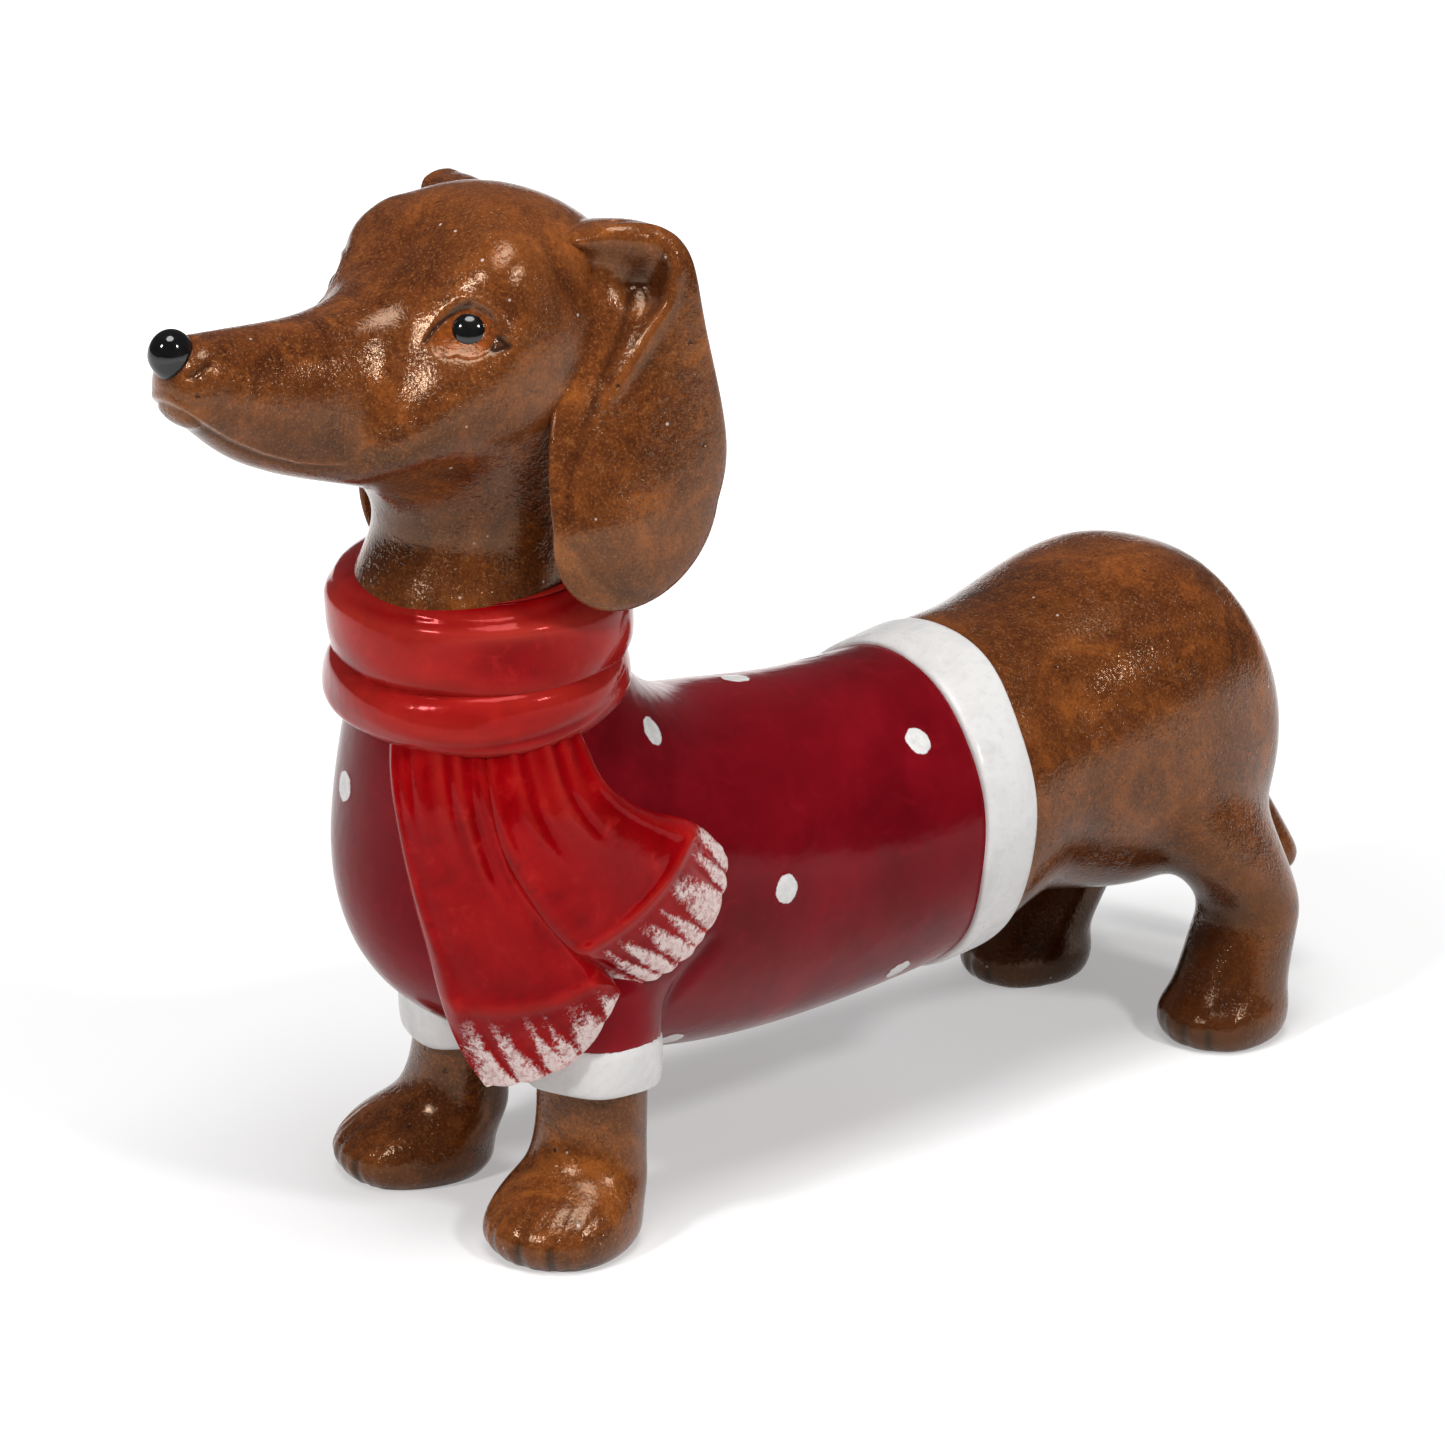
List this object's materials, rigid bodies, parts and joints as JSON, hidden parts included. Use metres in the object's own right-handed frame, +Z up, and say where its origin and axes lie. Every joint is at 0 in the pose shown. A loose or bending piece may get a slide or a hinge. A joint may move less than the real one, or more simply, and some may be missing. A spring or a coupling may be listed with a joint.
{
  "type": "ceramic dog figurine",
  "caption": "Standing glazed ceramic dachshund figurine in a dotted jumper with white hem and cuffs and a wrapped, fringed scarf; stands on its flat soles as an ornament.",
  "frame": {"origin": "on the surface that the paws stand on, under the middle of the figurine's bounding box", "axes": "+Z up; the dog faces -Y, so +Y runs towards its tail; +X is the dog's left side, where the scarf ends hang"},
  "size_m": [0.0642, 0.2249, 0.1612],
  "materials": {
    "brown_glaze": "gloss",
    "jumper_glaze": "gloss",
    "scarf_glaze": "gloss",
    "white_glaze": "gloss",
    "black_glaze": "polished"
  },
  "bodies": {
    "root": {"head": "brown_glaze", "hem_band": "white_glaze", "hindquarters": "brown_glaze", "jumper": "jumper_glaze", "left_cuff": "white_glaze", "left_ear": "brown_glaze", "left_eye": "black_glaze", "left_foreleg": "brown_glaze", "left_hind_leg": "brown_glaze", "nose": "black_glaze", "right_cuff": "white_glaze", "right_ear": "brown_glaze", "right_eye": "black_glaze", "right_foreleg": "brown_glaze", "right_hind_leg": "brown_glaze", "scarf_front_end": "scarf_glaze", "scarf_lower_turn": "scarf_glaze", "scarf_rear_end": "scarf_glaze", "scarf_upper_turn": "scarf_glaze", "tail": "brown_glaze"}
  },
  "joints": []
}
